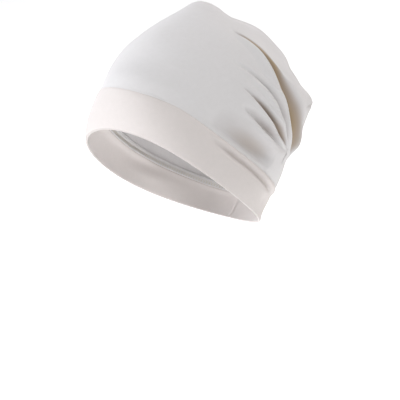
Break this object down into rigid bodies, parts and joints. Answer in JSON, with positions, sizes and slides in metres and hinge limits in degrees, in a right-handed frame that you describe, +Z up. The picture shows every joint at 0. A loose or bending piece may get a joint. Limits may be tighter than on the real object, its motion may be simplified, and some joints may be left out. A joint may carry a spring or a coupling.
{
  "type": "chemo cap",
  "caption": "Soft cream jersey head cap: a folded headband with a loose crown that gathers behind each ear and hangs as a pouch at the back.",
  "frame": {"origin": "middle of the head opening, in the plane of the rim, the cap held as on an upright head", "axes": "+Z up along the upright head, -Y to the wearer's front, +X to the wearer's left; the rim's plane drops 47 degrees from the forehead to the nape"},
  "size_m": [0.1575, 0.237, 0.2151],
  "materials": {
    "band_jersey": "matt, two layers of fine cream jersey folded at the rim",
    "crown_jersey": "matt, one layer of fine cream jersey"
  },
  "bodies": {
    "root": {"band": "band_jersey", "crown": "crown_jersey"}
  },
  "joints": []
}
